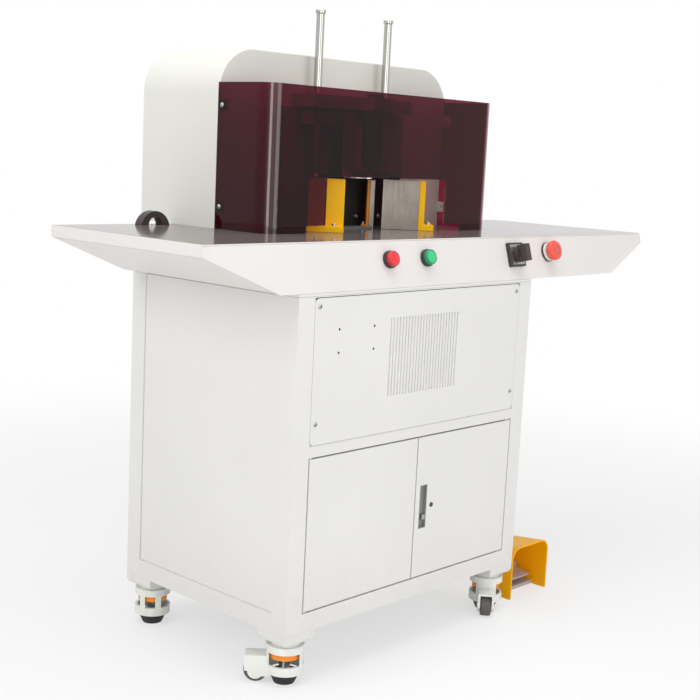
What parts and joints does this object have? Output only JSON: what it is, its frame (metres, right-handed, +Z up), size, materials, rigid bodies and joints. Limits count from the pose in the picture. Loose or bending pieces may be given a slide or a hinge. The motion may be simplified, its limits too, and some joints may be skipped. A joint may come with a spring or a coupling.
{
  "type": "corner rounding machine",
  "caption": "Floor-standing powered machine that rounds the corners of sheet piles: table with guarded knife and V fences on a wheeled cabinet, with a separate foot switch.",
  "frame": {"origin": "centre of the overall footprint, on the floor", "axes": "+Z up, +X to the operator's right along the table, the operator stands on the -Y side"},
  "size_m": [1.29, 0.5556, 1.197],
  "materials": {
    "white_paint": "satin",
    "table_steel": "polished",
    "grey_sheet": "satin",
    "acrylic": "smoked, polished",
    "chrome": "polished",
    "steel": "ground",
    "iron": "machined, dark",
    "brass": "turned",
    "yellow": "gloss",
    "pedal_yellow": "satin",
    "black": "satin",
    "red": "gloss",
    "stop_red": "satin",
    "green": "gloss",
    "grey_plastic": "satin",
    "caster_white": "satin",
    "wheel": "moulded",
    "rubber": "moulded",
    "aluminium": "cast",
    "motor_blue": "satin"
  },
  "bodies": {
    "machine": {"corner_posts": "white_paint", "cabinet_rails": "white_paint", "side_panels": "white_paint", "back_panel": "white_paint", "cabinet_top": "white_paint", "cabinet_floor": "grey_sheet", "cabinet_shelf": "grey_sheet", "access_panel": "white_paint", "cover_screws": "steel", "table_top": "table_steel", "front_panel": "white_paint", "back_apron": "white_paint", "subframe": "grey_sheet", "housing_shell": "white_paint", "housing_front": "white_paint", "housing_back": "white_paint", "side_handle": "black", "guard": "acrylic", "head_block": "iron", "rod_bushes": "brass", "ram_cylinder": "iron", "presser_cylinder": "aluminium", "fences": "steel", "station_brackets": "yellow", "cutting_block": "grey_plastic", "pump_motor": "motor_blue", "oil_tank": "iron", "pressure_pipe": "steel", "button_bezels": "black", "switch_plate": "grey_plastic", "estop_collar": "grey_plastic", "pedal_base": "aluminium", "pedal_hood": "pedal_yellow", "caster_mounts": "white_paint"},
    "left_door": {"door_left": "white_paint"},
    "right_door": {"door_right": "white_paint", "door_pull": "grey_plastic"},
    "lock": {"door_lock": "black"},
    "ram": {"guide_rods": "chrome", "crosshead": "iron", "knife": "steel", "piston_rod": "chrome"},
    "presser": {"presser_foot": "steel"},
    "stop_button": {"red_button": "red"},
    "start_button": {"green_button": "green"},
    "main_switch": {"switch_knob": "black"},
    "emergency_stop": {"estop_head": "stop_red"},
    "treadle": {"pedal_treadle": "aluminium"},
    "caster_fl": {"caster_frame_fl": "caster_white"},
    "wheel_fl": {"caster_wheel_fl": "wheel"},
    "foot_fl": {"caster_foot_fl": "rubber"},
    "caster_fr": {"caster_frame_fr": "caster_white"},
    "wheel_fr": {"caster_wheel_fr": "wheel"},
    "foot_fr": {"caster_foot_fr": "rubber"},
    "caster_bl": {"caster_frame_bl": "caster_white"},
    "wheel_bl": {"caster_wheel_bl": "wheel"},
    "foot_bl": {"caster_foot_bl": "rubber"},
    "caster_br": {"caster_frame_br": "caster_white"},
    "wheel_br": {"caster_wheel_br": "wheel"},
    "foot_br": {"caster_foot_br": "rubber"}
  },
  "joints": [
    {"name": "left_door_hinge", "type": "hinge", "parent": "machine", "child": "left_door", "pos_m": [-0.4075, -0.24724, 0.136], "axis": [0, 0, -1], "range_deg": [0, 105]},
    {"name": "right_door_hinge", "type": "hinge", "parent": "machine", "child": "right_door", "pos_m": [0.1535, -0.24724, 0.136], "axis": [0, 0, 1], "range_deg": [0, 105]},
    {"name": "lock_turn", "type": "hinge", "parent": "right_door", "child": "lock", "pos_m": [-0.0785, -0.25324, 0.2725], "axis": [0, -1, 0], "range_deg": [0, 90]},
    {"name": "ram_stroke", "type": "slide", "parent": "machine", "child": "ram", "axis": [0, 0, -1], "range_m": [0, 0.095]},
    {"name": "presser_stroke", "type": "slide", "parent": "machine", "child": "presser", "axis": [0, 0, -1], "range_m": [0, 0.086]},
    {"name": "stop_push", "type": "slide", "parent": "machine", "child": "stop_button", "axis": [0, 0.9585, -0.2853], "range_m": [0, 0.004], "stiffness_N_per_m": 300, "springref_m": -0.001},
    {"name": "start_push", "type": "slide", "parent": "machine", "child": "start_button", "axis": [0, 0.9585, -0.2853], "range_m": [0, 0.004], "stiffness_N_per_m": 300, "springref_m": -0.001},
    {"name": "switch_turn", "type": "hinge", "parent": "machine", "child": "main_switch", "pos_m": [0.156, -0.23908, 0.74358], "axis": [0, 0.9585, -0.2853], "range_deg": [0, 90]},
    {"name": "emergency_push", "type": "slide", "parent": "machine", "child": "emergency_stop", "axis": [0, 0.9585, -0.2853], "range_m": [0, 0.0035]},
    {"name": "treadle_press", "type": "hinge", "parent": "machine", "child": "treadle", "pos_m": [0.304, -0.14324, 0.032], "axis": [1, 0, 0], "range_deg": [0, 10], "stiffness_Nm_per_rad": 4, "springref_deg": -17.19},
    {"name": "swivel_fl", "type": "hinge", "parent": "machine", "child": "caster_fl", "pos_m": [-0.418, -0.21674, 0], "axis": [0, 0, 1], "continuous": true},
    {"name": "roll_fl", "type": "hinge", "parent": "caster_fl", "child": "wheel_fl", "pos_m": [-0.45244, -0.1798, 0.022], "axis": [-0.7314, -0.682, 0], "continuous": true},
    {"name": "foot_lift_fl", "type": "slide", "parent": "caster_fl", "child": "foot_fl", "axis": [0, 0, 1], "range_m": [0, 0.01]},
    {"name": "swivel_fr", "type": "hinge", "parent": "machine", "child": "caster_fr", "pos_m": [0.164, -0.21674, 0], "axis": [0, 0, 1], "continuous": true},
    {"name": "roll_fr", "type": "hinge", "parent": "caster_fr", "child": "wheel_fr", "pos_m": [0.12475, -0.24852, 0.022], "axis": [0.6293, -0.7771, 0], "continuous": true},
    {"name": "foot_lift_fr", "type": "slide", "parent": "caster_fr", "child": "foot_fr", "axis": [0, 0, 1], "range_m": [0, 0.01]},
    {"name": "swivel_bl", "type": "hinge", "parent": "machine", "child": "caster_bl", "pos_m": [-0.418, 0.16026, 0], "axis": [0, 0, 1], "continuous": true},
    {"name": "roll_bl", "type": "hinge", "parent": "caster_bl", "child": "wheel_bl", "pos_m": [-0.38107, 0.1947, 0.022], "axis": [-0.682, 0.7314, 0], "continuous": true},
    {"name": "foot_lift_bl", "type": "slide", "parent": "caster_bl", "child": "foot_bl", "axis": [0, 0, 1], "range_m": [0, 0.01]},
    {"name": "swivel_br", "type": "hinge", "parent": "machine", "child": "caster_br", "pos_m": [0.164, 0.16026, 0], "axis": [0, 0, 1], "continuous": true},
    {"name": "roll_br", "type": "hinge", "parent": "caster_br", "child": "wheel_br", "pos_m": [0.15523, 0.20999, 0.022], "axis": [-0.9848, -0.1736, 0], "continuous": true},
    {"name": "foot_lift_br", "type": "slide", "parent": "caster_br", "child": "foot_br", "axis": [0, 0, 1], "range_m": [0, 0.01]}
  ]
}
